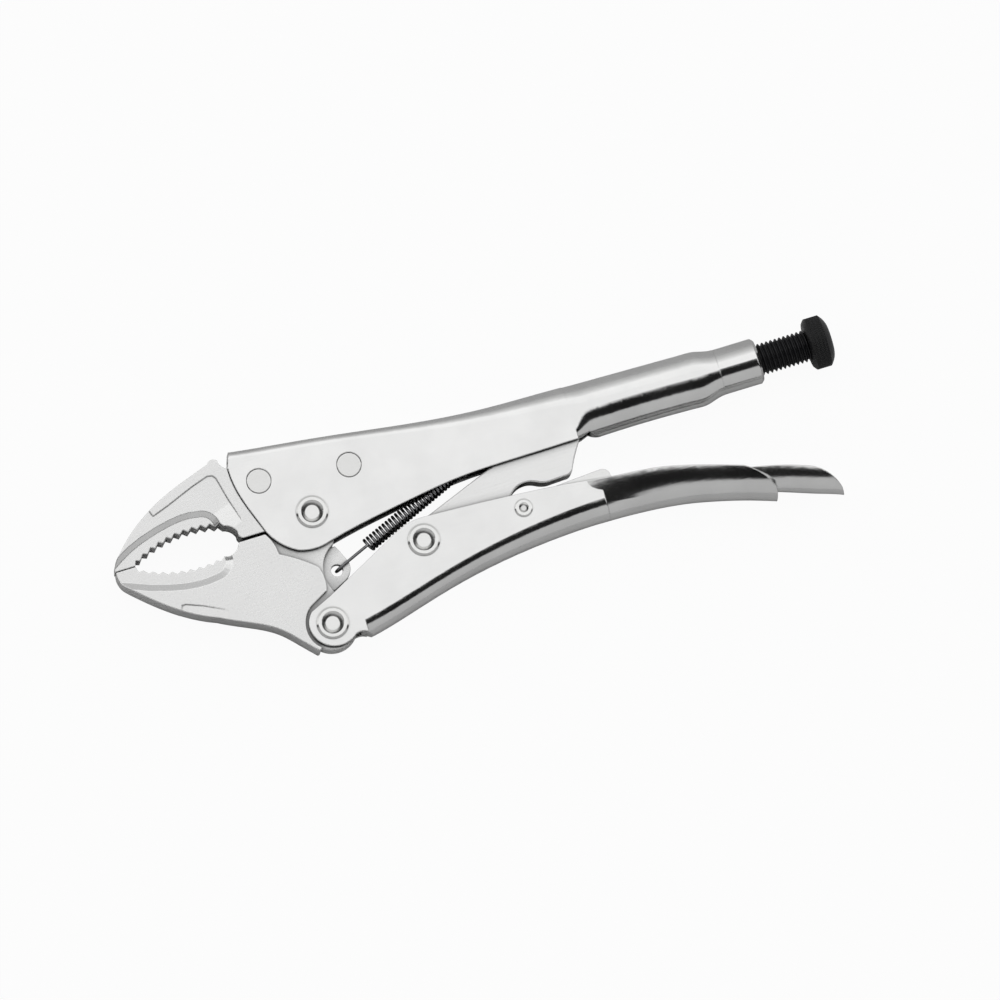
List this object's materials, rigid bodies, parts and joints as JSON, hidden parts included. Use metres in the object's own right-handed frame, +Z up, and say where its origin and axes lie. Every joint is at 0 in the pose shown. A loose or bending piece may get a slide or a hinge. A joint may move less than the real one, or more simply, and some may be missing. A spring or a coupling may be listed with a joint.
{
  "type": "locking pliers",
  "caption": "Curved-jaw locking pliers with folded sheet handles, toggle link, release lever, return spring and adjusting screw.",
  "frame": {"origin": "axis of the jaw pivot, on the surface that the pliers lie on", "axes": "+X along the adjusting screw towards its knob, +Y towards the upper handle, +Z up from the surface, across the width of the handles"},
  "size_m": [0.2499, 0.0733, 0.0174],
  "materials": {
    "plated_sheet": "bright nickel plating on pressed steel sheet",
    "jaw_steel": "satin nickel plating on forged steel",
    "rivet_steel": "bright nickel plating",
    "dark_steel": "black oxide, lightly oiled",
    "spring_steel": "bright drawn spring wire"
  },
  "bodies": {
    "upper_handle_body": {"upper_handle": "plated_sheet", "fixed_jaw": "jaw_steel", "jaw_rivet_front": "rivet_steel", "jaw_rivet_rear": "rivet_steel", "jaw_pivot_rivet": "rivet_steel", "spring_hanger": "plated_sheet", "return_spring": "spring_steel"},
    "moving_jaw": {"lower_jaw": "jaw_steel"},
    "lower_handle_body": {"lower_handle": "plated_sheet", "handle_pivot_rivet": "rivet_steel", "link_pivot_rivet": "rivet_steel", "release_lever_rivet": "rivet_steel"},
    "toggle": {"toggle_link": "plated_sheet"},
    "lever": {"release_lever": "plated_sheet"},
    "screw": {"adjusting_screw": "dark_steel"},
    "knob": {"adjusting_knob": "dark_steel"}
  },
  "joints": [
    {"name": "jaw_pivot", "type": "hinge", "parent": "upper_handle_body", "child": "moving_jaw", "pos_m": [0, 0, 0.0087], "axis": [0, 0, 1], "range_deg": [0, 14], "deforming": ["return_spring"]},
    {"name": "handle_pivot", "type": "hinge", "parent": "moving_jaw", "child": "lower_handle_body", "pos_m": [-0.0045, -0.0373, 0.0087], "axis": [0, 0, 1], "range_deg": [-54, 0]},
    {"name": "link_pivot", "type": "hinge", "parent": "lower_handle_body", "child": "toggle", "pos_m": [0.0325, -0.0197, 0.0087], "axis": [0, 0, 1], "range_deg": [0, 71]},
    {"name": "lever_pivot", "type": "hinge", "parent": "lower_handle_body", "child": "lever", "pos_m": [0.0672, -0.0192, 0.0087], "axis": [0, 0, 1], "range_deg": [0, 4.5]},
    {"name": "screw_travel", "type": "slide", "parent": "upper_handle_body", "child": "screw", "axis": [1, 0, 0], "range_m": [0, 0.015]},
    {"name": "knob_turn", "type": "hinge", "parent": "screw", "child": "knob", "pos_m": [0.1776, 0.006, 0.0087], "axis": [1, 0, 0], "range_deg": [0, 3600]}
  ],
  "couplings": [
    {"joint": "jaw_pivot", "follows": "handle_pivot", "ratio": -0.25926},
    {"joint": "link_pivot", "follows": "handle_pivot", "ratio": -1.3148},
    {"joint": "knob_turn", "follows": "screw_travel", "rad_per_m": 4188.8}
  ]
}
